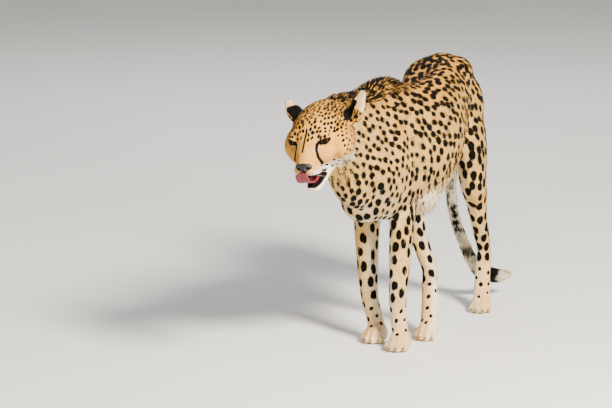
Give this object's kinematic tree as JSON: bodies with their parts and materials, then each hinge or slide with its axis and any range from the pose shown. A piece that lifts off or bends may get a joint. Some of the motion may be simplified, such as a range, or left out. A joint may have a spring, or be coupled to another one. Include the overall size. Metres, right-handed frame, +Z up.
{
  "type": "cheetah museum model",
  "caption": "Life-size still model of a spotted big cat standing in mid-step with its head lowered and its tongue over its lip.",
  "frame": {"origin": "middle of the model's box at floor level, under the soles", "axes": "+Z up, the animal faces -Y, its left side is +X"},
  "size_m": [0.3472, 1.2942, 0.7794],
  "materials": {
    "coat": "short tan fur with black spots, paler below",
    "eye": "glossy amber-brown eye",
    "tongue": "moist pink tongue"
  },
  "bodies": {
    "root": {"chest": "coat", "loin_and_rump": "coat", "neck": "coat", "head": "coat", "lower_jaw": "coat", "ear_left": "coat", "ear_right": "coat", "foreleg_left": "coat", "forepaw_left": "coat", "foreleg_right": "coat", "forepaw_right": "coat", "hind_leg_left": "coat", "hind_paw_left": "coat", "hind_leg_right": "coat", "hind_paw_right": "coat", "tail_upper": "coat", "tail_tip": "coat", "eye_left": "eye", "eye_right": "eye", "tongue": "tongue"}
  },
  "joints": []
}
